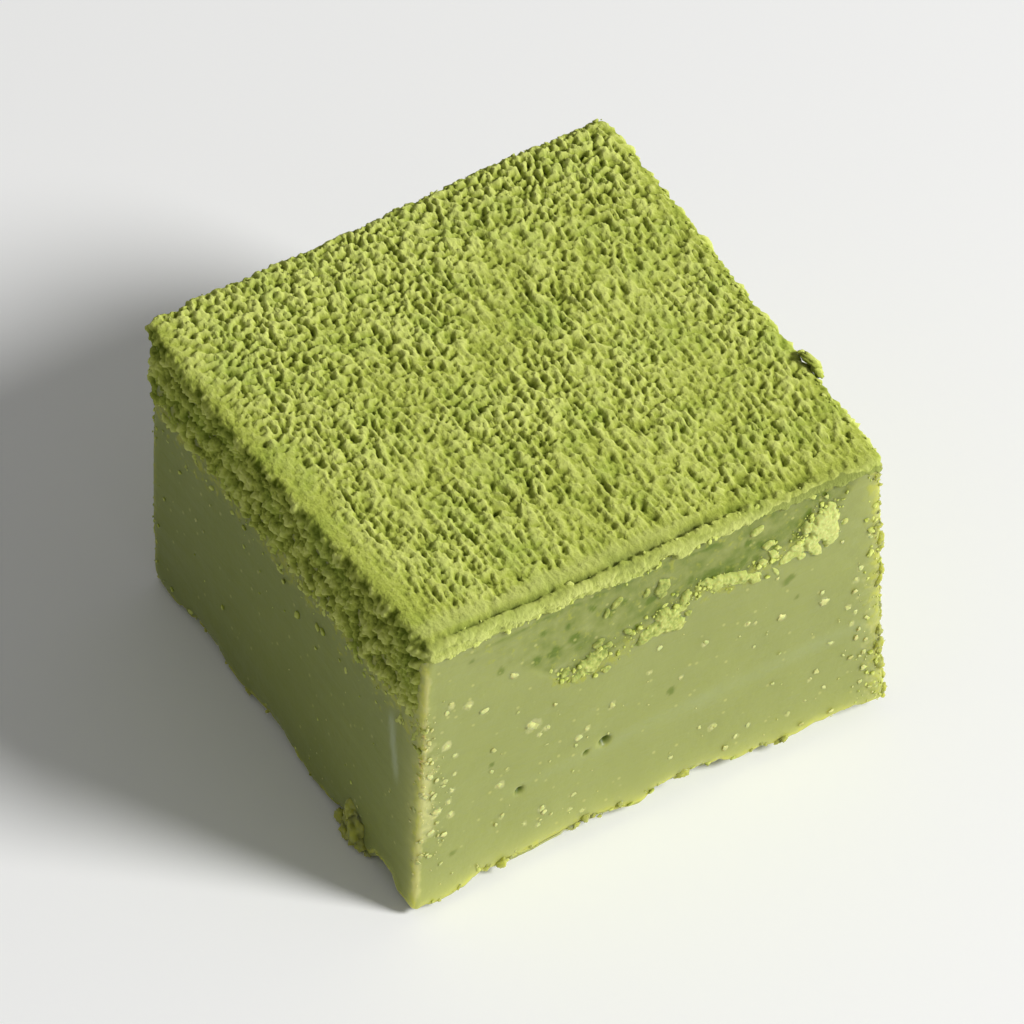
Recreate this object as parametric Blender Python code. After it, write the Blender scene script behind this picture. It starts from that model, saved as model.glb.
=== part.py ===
# Nama chocolate: one square of matcha ganache, cut from a slab and dusted with powdered tea.
# The block stands on its flat foot. The front face looks along -Y and the top along +Z.
import bpy
import bmesh
from mathutils import Vector, noise

MM = 0.001

# Driving dimensions
SIDE = 22.9 * MM            # the cut square, across the top
HEIGHT = 16.1 * MM          # the slab's thickness, at the block's higher left side
TOP_FALL = 0.7 * MM         # how much lower the top is at the right side
FLARE = 0.35 * MM           # how far the foot spreads past the top, on each side
EDGE_ROUND = 0.4 * MM       # the worn edges
EDGE_STEPS = 2              # facets across a worn edge
CELLS_ACROSS = 28           # facets along a side
CELLS_UP = 19               # facets from the foot to the top

# Soft ganache leaves the wire out of square. Each corner is named by its side in x, y and z,
# and its pull is in millimetres.
CORNER_PULLS = {
    (-1, -1, 0): (-0.65, -0.30, 0.0),
    (1, -1, 0): (-0.25, -0.40, 0.0),
    (-1, 1, 0): (-0.25, -0.90, 0.0),
    (-1, 1, 1): (-0.30, 0.00, -0.1),
    (1, 1, 1): (0.00, 0.40, 0.6),
}
PULL_FADE = 1.3             # above 1, a pull stays nearer to its corner

# Unevenness left by the cutting wire and by handling
SWELL = 0.11 * MM           # in and out, over a whole face
SWELL_LENGTH = 9.0 * MM
DENT = 0.04 * MM            # in and out, over a few millimetres
DENT_LENGTH = 2.6 * MM
SEED = Vector((3.7, 11.2, 5.9))

# The front face draws in between its two foot corners
FRONT_HOLLOW = 0.35 * MM
HOLLOW_FADE = 1.6           # above 1, the hollow stays nearer to the foot

# The torn rim of the foot
TEAR_LIFT = 0.75 * MM       # the most that the rim stands clear of the table
TEAR_LENGTH = 3.1 * MM      # from one torn bite to the next
TEAR_REACH = 0.9 * MM       # how far in from the rim, and how far up, a tear runs
FRONT_TEAR_X = 2.6 * MM     # the longest tear, under the front face
FRONT_TEAR_HALF = 5.0 * MM
FRONT_TEAR_LIFT = 0.8 * MM

GANACHE_GREEN = (0.398, 0.434, 0.150, 1.0)
GANACHE_ROUGHNESS = 0.55


def clear_scene():
    for thing in list(bpy.data.objects):
        bpy.data.objects.remove(thing, do_unlink=True)


def cut_into_cells(bm):
    # Loop cuts, evenly spaced along each axis
    spans = ((0, SIDE, CELLS_ACROSS), (1, SIDE, CELLS_ACROSS), (2, HEIGHT, CELLS_UP))
    for axis, length, cells in spans:
        normal = Vector((0.0, 0.0, 0.0))
        normal[axis] = 1.0
        start = -length / 2
        for step in range(1, cells):
            everything = bm.verts[:] + bm.edges[:] + bm.faces[:]
            where = normal * (start + length * step / cells)
            bmesh.ops.bisect_plane(bm, geom=everything, plane_co=where, plane_no=normal)


def round_edges(bm):
    # The block's twelve edges are the ones between faces that look different ways
    worn = [edge for edge in bm.edges if edge.calc_face_angle(0.0) > 1.0]
    bmesh.ops.bevel(bm, geom=worn, offset=EDGE_ROUND, offset_type="OFFSET", affect="EDGES",
                    segments=EDGE_STEPS, profile=0.5)


def smooth_step(value):
    value = min(max(value, 0.0), 1.0)
    return value * value * (3.0 - 2.0 * value)


def corner_pull(place):
    # Each pull fades away from its own corner, along the three edges that meet there
    half = SIDE / 2
    total = Vector((0.0, 0.0, 0.0))
    for (x_side, y_side, z_end), pull in CORNER_PULLS.items():
        x_share = 0.5 + 0.5 * x_side * place.x / half
        y_share = 0.5 + 0.5 * y_side * place.y / half
        z_share = place.z / HEIGHT if z_end else 1.0 - place.z / HEIGHT
        share = max(x_share, 0.0) * max(y_share, 0.0) * max(z_share, 0.0)
        total += Vector(pull) * MM * share ** PULL_FADE
    return total


def front_hollow(place, up):
    along = min(abs(place.x) / (SIDE / 2), 1.0)
    forward = max(-place.y / (SIDE / 2), 0.0)
    return FRONT_HOLLOW * (1.0 - along ** 4) * forward * (1.0 - up) ** HOLLOW_FADE


def unevenness(place):
    swell = SWELL * noise.noise(place / SWELL_LENGTH + SEED)
    dent = DENT * noise.noise(place / DENT_LENGTH + SEED)
    return 2.0 * (swell + dent)


def rim_lift(place):
    # How far the torn rim is lifted here
    torn = noise.noise(Vector((place.x, place.y, 0.0)) / TEAR_LENGTH + SEED)
    lift = TEAR_LIFT * smooth_step(0.35 + 1.6 * torn)
    if place.y < 0.0:
        along = abs(place.x - FRONT_TEAR_X) / FRONT_TEAR_HALF
        lift = max(lift, FRONT_TEAR_LIFT * (1.0 - smooth_step(along)))
    half = SIDE / 2
    to_rim = half - max(abs(place.x), abs(place.y))
    near_rim = 1.0 - smooth_step(to_rim / TEAR_REACH)
    low_down = 1.0 - smooth_step((place.z - EDGE_ROUND) / TEAR_REACH)
    return lift * near_rim * low_down


def shape_block(bm):
    half = SIDE / 2
    bm.normal_update()
    outward = {vert: vert.normal.copy() for vert in bm.verts}
    for vert in bm.verts:
        place = vert.co + Vector((0.0, 0.0, HEIGHT / 2))
        up = min(max(place.z / HEIGHT, 0.0), 1.0)
        move = outward[vert] * unevenness(place)
        underside = outward[vert].z < -0.9
        if underside:
            move = Vector((0.0, 0.0, 0.0))
        spread = 1.0 + FLARE / half * (1.0 - up) ** 1.5
        fall = TOP_FALL * up * (0.5 + 0.5 * place.x / half)
        lift = rim_lift(place)
        flared = Vector((place.x * spread, place.y * spread, place.z - fall + lift))
        flared.y += front_hollow(place, up)
        vert.co = flared + corner_pull(place) + move
        if vert.co.z < 0.0:
            vert.co.z = 0.0


def stand_on_origin(bm):
    # The origin is under the middle of the block, on the table
    low = Vector([min(vert.co[axis] for vert in bm.verts) for axis in range(3)])
    high = Vector([max(vert.co[axis] for vert in bm.verts) for axis in range(3)])
    middle = (low + high) / 2
    bmesh.ops.translate(bm, verts=bm.verts, vec=(-middle.x, -middle.y, -low.z))


def ganache_material():
    material = bpy.data.materials.new("matcha_ganache")
    material.use_nodes = True
    surface = material.node_tree.nodes["Principled BSDF"]
    surface.inputs["Base Color"].default_value = GANACHE_GREEN
    surface.inputs["Roughness"].default_value = GANACHE_ROUGHNESS
    surface.inputs["Metallic"].default_value = 0.0
    return material


def ganache_block(collection):
    bm = bmesh.new()
    bmesh.ops.create_cube(bm, size=1.0)
    bmesh.ops.scale(bm, verts=bm.verts, vec=(SIDE, SIDE, HEIGHT))
    cut_into_cells(bm)
    round_edges(bm)
    shape_block(bm)
    stand_on_origin(bm)
    mesh = bpy.data.meshes.new("ganache_block")
    bm.to_mesh(mesh)
    bm.free()
    mesh.shade_smooth()
    mesh.materials.append(ganache_material())
    block = bpy.data.objects.new("ganache_block", mesh)
    collection.objects.link(block)
    return block


def main():
    clear_scene()
    collection = bpy.data.collections.new("nama_chocolate")
    bpy.context.scene.collection.children.link(collection)
    ganache_block(collection)


main()
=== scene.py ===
# One matcha nama chocolate: a square of soft green ganache, cut from a slab, under brushed tea powder.
# Lengths are in millimetres here, and become metres when a mesh is made.
import itertools
import math

import bmesh
import bpy
import numpy as np
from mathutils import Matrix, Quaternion, Vector
from mathutils.bvhtree import BVHTree


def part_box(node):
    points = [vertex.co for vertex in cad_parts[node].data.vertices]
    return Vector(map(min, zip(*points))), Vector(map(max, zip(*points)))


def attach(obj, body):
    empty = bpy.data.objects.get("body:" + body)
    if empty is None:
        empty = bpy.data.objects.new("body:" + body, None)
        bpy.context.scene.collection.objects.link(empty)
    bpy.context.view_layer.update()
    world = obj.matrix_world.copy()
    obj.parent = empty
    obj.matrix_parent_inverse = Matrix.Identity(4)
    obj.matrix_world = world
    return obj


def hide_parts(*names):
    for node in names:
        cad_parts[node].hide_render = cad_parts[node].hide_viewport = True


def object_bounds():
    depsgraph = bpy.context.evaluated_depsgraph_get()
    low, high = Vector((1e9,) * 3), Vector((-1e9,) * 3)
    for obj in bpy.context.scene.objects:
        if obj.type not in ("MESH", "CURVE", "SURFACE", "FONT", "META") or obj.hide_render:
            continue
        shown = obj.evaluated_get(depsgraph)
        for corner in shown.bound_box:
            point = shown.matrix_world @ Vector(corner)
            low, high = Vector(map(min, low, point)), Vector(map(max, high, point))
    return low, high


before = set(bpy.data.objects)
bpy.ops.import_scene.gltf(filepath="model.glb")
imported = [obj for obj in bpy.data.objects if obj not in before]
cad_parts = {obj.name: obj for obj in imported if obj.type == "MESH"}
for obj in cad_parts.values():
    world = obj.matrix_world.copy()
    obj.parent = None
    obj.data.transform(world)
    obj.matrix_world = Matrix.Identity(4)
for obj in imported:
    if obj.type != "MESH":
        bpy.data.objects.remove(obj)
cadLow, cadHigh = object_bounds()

mm = 0.001
blockNode = "ganache_block"
blockLow = np.array(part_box(blockNode)[0]) / mm
blockHigh = np.array(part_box(blockNode)[1]) / mm
blockSize = blockHigh - blockLow
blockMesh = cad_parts[blockNode].data
blockPoints = np.array([v.co for v in blockMesh.vertices]) / mm
blockTree = BVHTree.FromPolygons(blockPoints.tolist(), [p.vertices for p in blockMesh.polygons])


# small tools

def toLinear(hexColour):
    # sRGB hex such as "a8b06a" to the linear values that shaders take
    parts = [int(hexColour[i:i + 2], 16) / 255 for i in (0, 2, 4)]
    return tuple(p / 12.92 if p <= 0.04045 else ((p + 0.055) / 1.055) ** 2.4 for p in parts) + (1.0,)


def addNode(tree, kind, settings=None, inputs=None, links=None):
    # settings are the node's own fields, inputs its fixed sockets, links its fed ones
    node = tree.nodes.new(kind)
    for name, value in (settings or {}).items():
        setattr(node, name, value)
    for name, value in (inputs or {}).items():
        node.inputs[name].default_value = value
    for name, source in (links or {}).items():
        tree.links.new(source, node.inputs[name])
    return node


def smoothStep(low, high, value):
    t = np.clip((value - low) / (high - low), 0, 1)
    return t * t * (3 - 2 * t)


def nearTo(value, middle, width):
    # 1 at the middle, falling away over about one width to each side
    return np.exp(-((value - middle) / width) ** 2)


def shareOf(turned):
    # how much a point of the skin counts as one side's, from the part of its way out that points there
    return np.maximum(turned, 0) ** 2


def readAt(rows, value):
    # the other columns of a table, read off where its first column has that value
    first, *others = np.array(rows).T
    return [np.interp(value, first, column) for column in others]


def cellPicker(seed):
    # a repeatable number from 0 to 255 for each whole cell
    order = np.random.default_rng(seed).permutation(256)

    def pick(cell):
        cell = cell & 255
        return order[(order[(order[cell[:, 0]] + cell[:, 1]) & 255] + cell[:, 2]) & 255]
    return pick


def softNoise(points, size, seed):
    # smooth bumps about one size across, from -1 to 1; size is one number, or one for each axis
    pick = cellPicker(seed)
    slopes = np.random.default_rng(seed + 1000).normal(size=(256, 3))
    slopes /= np.linalg.norm(slopes, axis=1, keepdims=True)
    place = points / np.array(size, float)
    cell = np.floor(place).astype(int)
    part = place - cell
    fade = part ** 3 * (part * (part * 6 - 15) + 10)
    total = np.zeros(len(points))
    for corner in itertools.product((0, 1), repeat=3):
        corner = np.array(corner)
        rise = ((part - corner) * slopes[pick(cell + corner)]).sum(1)
        total += rise * np.where(corner == 1, fade, 1 - fade).prod(1)
    return total * 1.6


def grainNoise(points, size, seed):
    # distance to the nearest grain's middle: 0 there, about 1 in the gaps
    pick = cellPicker(seed)
    shift = np.random.default_rng(seed + 2000).uniform(0.1, 0.9, (256, 3))
    place = points / np.array(size, float)
    cell = np.floor(place).astype(int)
    nearest = np.full(len(points), 9.0)
    for step in itertools.product((-1, 0, 1), repeat=3):
        there = cell + np.array(step)
        nearest = np.minimum(nearest, ((place - there - shift[pick(there)]) ** 2).sum(1))
    return np.sqrt(nearest)


def steps(length, cell, fineEnds=(0, 0), fineCell=None):
    # positions from 0 to length, one cell apart, with finer ones for so many mm at each end
    marks = [0.0]
    while marks[-1] < length:
        near = marks[-1] < fineEnds[0] or marks[-1] > length - fineEnds[1]
        marks.append(marks[-1] + (fineCell if near else cell))
    return np.array(marks) / marks[-1]


def squaresOf(sheet):
    corners = (sheet[:-1, :-1], sheet[1:, :-1], sheet[1:, 1:], sheet[:-1, 1:])
    return np.stack([c.ravel() for c in corners], 1)


def boxLattice(xMarks, yMarks, zMarks, openTop=False, openFoot=False):
    # points on the skin of a box, each coordinate from 0 to 1, with shared edges, and its squares
    skin = np.zeros((len(xMarks), len(yMarks), len(zMarks)), bool)
    skin[[0, -1]] = True
    skin[:, [0, -1]] = True
    skin[1:-1, 1:-1, 0] = not openFoot
    skin[1:-1, 1:-1, -1] = not openTop
    ids = np.full(skin.shape, -1)
    ids[skin] = np.arange(skin.sum())
    i, j, k = np.nonzero(skin)
    points = np.stack([xMarks[i], yMarks[j], zMarks[k]], 1)
    sheets = [(ids[0], True), (ids[-1], False), (ids[:, 0], False), (ids[:, -1], True)]
    if not openFoot:
        sheets.append((ids[:, :, 0], True))
    if not openTop:
        sheets.append((ids[:, :, -1], False))
    squares = [squaresOf(sheet)[:, ::-1 if turned else 1] for sheet, turned in sheets]
    return points, np.concatenate(squares)


def closingFace(points, height, up):
    # one face round the open rim at that height of the lattice
    rim = np.nonzero(points[:, 2] == height)[0]
    turn = np.arctan2(points[rim, 1] - 0.5, points[rim, 0] - 0.5)
    return rim[np.argsort(turn if up else -turn)].tolist()


def spread(values, squares, rounds):
    # evens values out between neighbours, so that the block's facets don't show
    pairs = np.concatenate([squares[:, [a, (a + 1) % 4]] for a in range(4)])
    count = np.bincount(pairs.ravel(), minlength=len(values))
    for _ in range(rounds):
        total = np.bincount(pairs[:, 0], values[pairs[:, 1]], len(values))
        total += np.bincount(pairs[:, 1], values[pairs[:, 0]], len(values))
        values = 0.4 * values + 0.6 * total / count
    return values


def cornersOfBlock(edgeRound):
    # the block's eight corners, as sharp as they were before they wore
    middle, half = (blockLow + blockHigh) / 2, blockSize / 2
    corners = {}
    for side in itertools.product((0, 1), repeat=3):
        way = np.array(side) * 2 - 1
        tip = blockPoints[np.argmax(((blockPoints - middle) / half * way).sum(1))]
        corners[side] = tip + way * edgeRound * (1 - 3 ** -0.5)
    return corners


def fitToBlock(points, squares, low, high, edgeRound, rounds):
    # points of a lattice between two heights of the block, laid on the block's skin;
    # gives each point's place and the way out there
    boxLow = blockLow * [1, 1, 0] + [0, 0, low]
    boxHigh = blockHigh * [1, 1, 0] + [0, 0, high]
    place = boxLow + points * (boxHigh - boxLow)
    core = np.clip(place, boxLow + edgeRound, boxHigh - edgeRound)
    out = place - core
    out /= np.linalg.norm(out, axis=1, keepdims=True)
    share = (core + out * edgeRound - blockLow) / blockSize
    place = np.zeros_like(share)
    for side, corner in cornersOfBlock(edgeRound).items():
        weight = np.where(np.array(side) == 1, share, 1 - share).prod(1)
        place += weight[:, None] * corner
    reach = 1.5
    gap = np.zeros(len(place))
    for n, (p, o) in enumerate(zip(place, out)):
        hit = blockTree.ray_cast(Vector(p + o * reach), Vector(-o), 2 * reach)
        gap[n] = reach - hit[3] if hit[0] else 0.0
    return place + out * spread(gap, squares, rounds)[:, None], out


def makePiece(name, places, faces, attributes, material):
    mesh = bpy.data.meshes.new(name)
    mesh.from_pydata((places * mm).tolist(), [], faces)
    for field, values in attributes.items():
        layer = mesh.attributes.new(field, "FLOAT", "POINT")
        layer.data.foreach_set("value", values.astype(np.float32))
    mesh.shade_smooth()
    mesh.materials.append(material)
    piece = bpy.data.objects.new(name, mesh)
    bpy.context.scene.collection.objects.link(piece)
    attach(piece, "root")
    print("made", name, "with", sum(len(f) - 2 for f in faces), "triangles")
    return piece


# what the stuffs are made of

powder = {
    # stone-ground green tea, sieved on dry and brushed: soft clumps with no shine at all,
    #     # paler where it is packed, and darker and more saturated down in the gaps, a painted shade
    "gap": "5a6a0c", "middle": "b6c055", "raised": "d5dc7c", "greener": "9eb546",
    "packed": "b6bc72",                              # soaked with fat where it is pressed on the edge
    "stained": "939d50",                             # a thin film of it over bare ganache
    "grit": 0.075, "lines": 0.13, "depth": 0.085,    # mm; the real dust is finer still, too fine to show
    "patch": 3.0, "greenerPatch": 1.1, "stainedGrain": 0.25, "roughness": 0.95,
}
ganache = {
    # white chocolate and cream ganache with green tea, cut with a warm blade: waxy and a little
    #     # see-through, satin, faintly mottled by its fat; the shade runs from a painted sheen on a band
    #     the blade
    #     # polished, over the bare cut and the thin green film of tea, to painted shade inside pinholes
    # the palest colour is a painted sheen on the polished band, the darkest painted shade inside pinholes
    "polishedSheen": "9aa268", "bare": "949b54", "bareDeep": "8f9650", "film": "7f893c", "filmDeep": "5e7208",
    "holeShade": "171f08",
    "rubbedIn": "a1a544", "rubbedGrain": 0.17,      # tea rubbed into the wet cut: yellower, matt, in grains
    "pale": "cccb82", "paleGrain": 0.24, "smeared": "a6b18b",    # fat at a worn edge; a painted highlight, the reflection on the left face
    "paintedEdgeGlow": "dfe178",                            # painted glow: light that gets through at a sharp edge
    "mottle": 1.6, "mottleAmount": 0.12, "blotch": 0.36, "blotchAmount": 0.78,
    "speck": 0.75, "speckSize": 0.1, "speckColour": "bcbb6c",    # mm between fat specks, and across
    "grain": 0.16, "drag": 0.11, "reliefDepth": 0.016,    # mm; the drag lines run level, round the block
    "satin": 0.44, "matt": 0.85, "seeThrough": 1.7,
}
cream = {
    # flakes of the white chocolate's own fat that came out at the cut: pale and waxy
    "deep": "bfbb6c", "pale": "e0d888", "roughness": 0.5,
}
smear = {
    # ganache and tea rubbed together by the blade: paler than the powder, matt, grainy
    "deep": "7f8c3a", "middle": "adb65c", "pale": "cfd580", "grain": 0.08, "grainDepth": 0.04,
    "roughness": 0.85,
}


def newMaterial(name):
    material = bpy.data.materials.new(name)
    material.use_nodes = True
    tree = material.node_tree
    tree.nodes.clear()
    return material, tree, addNode(tree, "ShaderNodeTexCoord").outputs["Object"]


def fieldOf(tree, name):
    return addNode(tree, "ShaderNodeAttribute", {"attribute_name": name}).outputs["Fac"]


def noiseOf(tree, place, size, detail=2.0):
    return addNode(tree, "ShaderNodeTexNoise", inputs={"Scale": 0.5 / (size * mm), "Detail": detail},
                   links={"Vector": place}).outputs["Fac"]


def addedTo(tree, base, part, amount, where=None):
    # base + part * amount, where the part runs about a middle of 0.5; where is a field from 0 to 1
    part = addNode(tree, "ShaderNodeMath", {"operation": "MULTIPLY_ADD"}, {1: amount, 2: -amount / 2},
                   {0: part}).outputs[0]
    if where is None:
        return addNode(tree, "ShaderNodeMath", {"operation": "ADD"}, links={0: base, 1: part}).outputs[0]
    return addNode(tree, "ShaderNodeMath", {"operation": "MULTIPLY_ADD"},
                   links={0: part, 1: where, 2: base}).outputs[0]


def rangeOf(tree, source, start, end, low=0.0, high=1.0):
    return addNode(tree, "ShaderNodeMapRange", inputs={"From Min": start, "From Max": end, "To Min": low,
                                                       "To Max": high}, links={"Value": source}).outputs[0]


def rampOf(tree, source, stops):
    ramp = addNode(tree, "ShaderNodeValToRGB", links={"Fac": source})
    elements = ramp.color_ramp.elements
    while len(elements) < len(stops):
        elements.new(0.5)
    for element, (position, hexColour) in zip(elements, stops):
        element.position = position
        element.color = toLinear(hexColour)
    return ramp.outputs["Color"]


def overlaid(tree, colour, hexColour, amount):
    return addNode(tree, "ShaderNodeMix", {"data_type": "RGBA"}, {"B": toLinear(hexColour)},
                   {"A": colour, "Factor": amount}).outputs["Result"]


def closeMaterial(tree, colour, relief, depth, fixed, roughness=None):
    # the one surface shader that every stuff here ends in
    bump = addNode(tree, "ShaderNodeBump", inputs={"Strength": 1.0, "Distance": depth * mm},
                   links={"Height": relief})
    links = {"Base Color": colour, "Normal": bump.outputs["Normal"]}
    if roughness is not None:
        links["Roughness"] = roughness
    surface = addNode(tree, "ShaderNodeBsdfPrincipled", inputs=fixed, links=links)
    addNode(tree, "ShaderNodeOutputMaterial", links={"Surface": surface.outputs[0]})


def groundTeaMaterial():
    material, tree, place = newMaterial("groundGreenTea")
    grit = noiseOf(tree, place, powder["grit"], 3.0)
    along = addNode(tree, "ShaderNodeMapping", inputs={"Scale": (1, 0.25, 0.6)}, links={"Vector": place})
    lines = noiseOf(tree, along.outputs[0], powder["lines"])
    # the height field, with the grit and lines that also make the bump, sets the colour: darker in the
    # hollows and paler on the tops, partly painted shade and partly the powder's own uneven tone
    shade = addedTo(tree, fieldOf(tree, "height"), grit, 0.42)
    shade = addedTo(tree, shade, lines, 0.22)
    shade = addedTo(tree, shade, noiseOf(tree, place, powder["patch"]), 0.2)
    colour = rampOf(tree, shade, [(0.0, powder["gap"]), (0.5, powder["middle"]), (0.85, powder["raised"])])
    greener = rangeOf(tree, noiseOf(tree, place, powder["greenerPatch"]), 0.5, 0.75, 0, 0.4)
    colour = overlaid(tree, colour, powder["greener"], greener)
    colour = overlaid(tree, colour, powder["packed"], fieldOf(tree, "packed"))
    ragged = addedTo(tree, fieldOf(tree, "stained"), noiseOf(tree, place, powder["stainedGrain"], 3.0), 1.8)
    colour = overlaid(tree, colour, powder["stained"], rangeOf(tree, ragged, 0.4, 0.7, 0, 0.9))
    closeMaterial(tree, colour, addedTo(tree, grit, lines, 0.6), powder["depth"],
                  {"Roughness": powder["roughness"], "Diffuse Roughness": 1.0, "Specular IOR Level": 0.1})
    return material


def teaGanacheMaterial():
    material, tree, place = newMaterial("greenTeaGanache")
    shade = addedTo(tree, fieldOf(tree, "shade"), noiseOf(tree, place, ganache["mottle"], 6.0),
                    ganache["mottleAmount"])
    shade = addedTo(tree, shade, noiseOf(tree, place, ganache["blotch"], 4.0), ganache["blotchAmount"],
                    fieldOf(tree, "filmed"))
    stops = [(0.0, "polishedSheen"), (0.2, "bare"), (0.3, "bareDeep"), (0.5, "film"), (0.75, "filmDeep"),
             (0.88, "filmDeep"), (1.0, "holeShade")]
    colour = rampOf(tree, shade, [(position, ganache[name]) for position, name in stops])
    specks = addNode(tree, "ShaderNodeTexVoronoi", inputs={"Scale": 1 / (ganache["speck"] * mm)},
                     links={"Vector": place}).outputs["Distance"]
    specks = rangeOf(tree, specks, ganache["speckSize"] * 1.5, ganache["speckSize"] * 0.6, 0.0, 0.6)
    colour = overlaid(tree, colour, ganache["speckColour"], specks)
    grains = noiseOf(tree, place, ganache["rubbedGrain"], 3.0)
    rubbed = rangeOf(tree, addedTo(tree, fieldOf(tree, "rubbed"), grains, 1.3), 0.3, 0.62)
    colour = overlaid(tree, colour, ganache["rubbedIn"], rubbed)
    # a painted highlight on the left face
    colour = overlaid(tree, colour, ganache["smeared"], fieldOf(tree, "paintedHighlight"))
    # a painted glow of light through the sharp edges
    colour = overlaid(tree, colour, ganache["paintedEdgeGlow"], fieldOf(tree, "paintedEdgeGlow"))
    pale = addedTo(tree, fieldOf(tree, "pale"), noiseOf(tree, place, ganache["paleGrain"], 3.0), 1.1)
    colour = overlaid(tree, colour, ganache["pale"], rangeOf(tree, pale, 0.3, 0.8, 0.0, 0.9))
    level = addNode(tree, "ShaderNodeMapping", inputs={"Scale": (0.06, 0.06, 1)}, links={"Vector": place})
    relief = addedTo(tree, noiseOf(tree, place, ganache["grain"], 3.0),
                     noiseOf(tree, level.outputs[0], ganache["drag"]), 0.9)
    relief = addedTo(tree, relief, rubbed, 0.5)
    rough = rangeOf(tree, rubbed, 0.0, 1.0, ganache["satin"], ganache["matt"])
    rough = addedTo(tree, rough, noiseOf(tree, place, 0.7), 0.16)
    closeMaterial(tree, colour, relief, ganache["reliefDepth"],
                  {"IOR": 1.46, "Subsurface Weight": 0.7, "Subsurface Radius": (1.0, 0.95, 0.3),
                   "Subsurface Scale": ganache["seeThrough"] * mm}, rough)
    return material


def creamMaterial():
    material, tree, place = newMaterial("creamFlakes")
    relief = noiseOf(tree, place, 0.2)
    colour = rampOf(tree, relief, [(0.35, cream["deep"]), (0.65, cream["pale"])])
    closeMaterial(tree, colour, relief, 0.02, {"Roughness": cream["roughness"], "Subsurface Weight": 0.3,
                                               "Subsurface Scale": 0.4 * mm})
    return material


def rubbedMaterial():
    material, tree, place = newMaterial("rubbedTea")
    grain = noiseOf(tree, place, smear["grain"], 3.0)
    shade = addedTo(tree, fieldOf(tree, "height"), grain, 0.6)
    colour = rampOf(tree, shade, [(0.0, smear["deep"]), (0.4, smear["middle"]), (0.85, smear["pale"])])
    closeMaterial(tree, colour, grain, smear["grainDepth"], {"Roughness": smear["roughness"],
                                                             "Subsurface Weight": 0.15,
                                                             "Subsurface Scale": 0.4 * mm})
    return material


groundTea = groundTeaMaterial()
teaGanache = teaGanacheMaterial()
creamFlakes = creamMaterial()
rubbedTea = rubbedMaterial()
print("mixed the tea, the ganache, the cream and the smear")


# how powder lies

def brushedRelief(place):
    # brushed grooves that run front to back, broken into crooked clumps of grains with gaps
    # between them; about -3 to 3
    bend = np.stack([softNoise(place, 0.9, 14), softNoise(place, 0.9, 15), 0 * place[:, 0]], 1)
    place = place + 0.12 * bend
    grooves = softNoise(place, (0.2, 1.0, 0.6), 11)
    lumps = softNoise(place, (0.19, 0.26, 0.22), 12)
    domes = 0.45 - grainNoise(place, (0.31, 0.42, 0.31), 13) ** 2
    grains = 0.45 - grainNoise(place, (0.19, 0.23, 0.2), 17) ** 2
    # the brush left plainer lines towards the front
    lined = smoothStep(-0.5, 0.7, softNoise(place, (5, 8, 5), 16) - 0.05 * place[:, 1])
    dabbed = smoothStep(6, 10, place[:, 1])
    lines = softNoise(place, (0.18, 2.4, 0.6), 18)
    grooves = (0.7 + 0.2 * lined) * (1 - 0.5 * dabbed) * grooves + 0.5 * lined * lines
    relief = grooves + (1.2 - 0.4 * lined + 0.3 * dabbed) * lumps + 1.0 * domes + 0.7 * grains
    relief = relief / relief.std()
    return np.where(relief > 1.1, 1.1 + 0.4 * (relief - 1.1), relief)


def fallenRelief(place):
    # powder that slid down a side and stuck in crumbs; about -3 to 3
    crumbs = 0.4 - grainNoise(place, 0.46, 21) ** 2
    grains = 0.45 - grainNoise(place, 0.27, 24) ** 2
    small = softNoise(place, 0.22, 22)
    relief = 1.2 * crumbs + 0.7 * grains + 0.6 * small + 0.6 * softNoise(place, 0.8, 23)
    return (relief - relief.mean()) / relief.std()


# the ganache

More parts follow.
